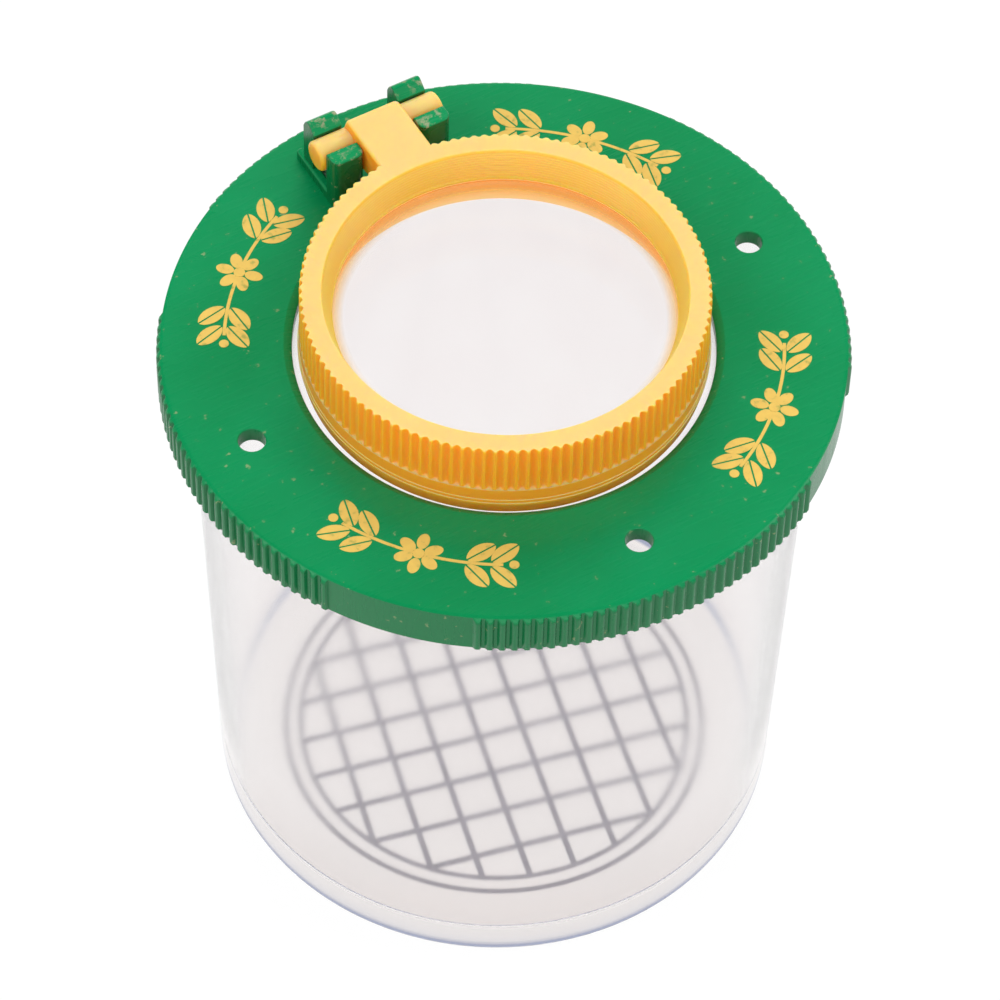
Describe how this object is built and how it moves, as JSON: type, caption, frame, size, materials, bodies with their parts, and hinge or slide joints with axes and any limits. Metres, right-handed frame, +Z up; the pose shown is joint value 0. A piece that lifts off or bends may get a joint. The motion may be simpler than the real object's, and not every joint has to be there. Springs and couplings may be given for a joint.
{
  "type": "bug catcher jar",
  "caption": "Clear round jar with a twist-off lid, air holes, a lens in the lid and a second lens that flips over it on a snap-in hinge; a grid on the floor shows size.",
  "frame": {"origin": "centre of the jar's base, on the surface it stands on", "axes": "+Z up along the jar's axis, hinge of the flip lens on the +Y side, hinge bar along X"},
  "size_m": [0.0706, 0.0706, 0.0762],
  "materials": {
    "clear_jar": "clear moulded polystyrene",
    "grid_ink": "printed ink",
    "green_plastic": "glossy moulded plastic",
    "clear_lens": "clear polished acrylic",
    "yellow_plastic": "glossy moulded plastic"
  },
  "bodies": {
    "jar": {"jar": "clear_jar", "measuring_grid": "grid_ink"},
    "lid_lens": {"fixed_lens": "clear_lens"},
    "lid": {"lid": "green_plastic"},
    "magnifier": {"magnifier_frame": "yellow_plastic", "flip_lens": "clear_lens"}
  },
  "joints": [
    {"name": "lid_lift", "type": "slide", "parent": "jar", "child": "lid_lens", "axis": [0, 0, 1], "range_m": [0, 0.0056]},
    {"name": "lid_twist", "type": "hinge", "parent": "lid_lens", "child": "lid", "pos_m": [0, 0, 0.0682], "axis": [0, 0, 1], "range_deg": [0, 100]},
    {"name": "lens_flip", "type": "hinge", "parent": "lid", "child": "magnifier", "pos_m": [0, 0.0268, 0.0734], "axis": [-1, 0, 0], "range_deg": [0, 195]}
  ],
  "couplings": [
    {"joint": "lid_lift", "follows": "lid_twist", "m_per_rad": 0.0031831}
  ]
}
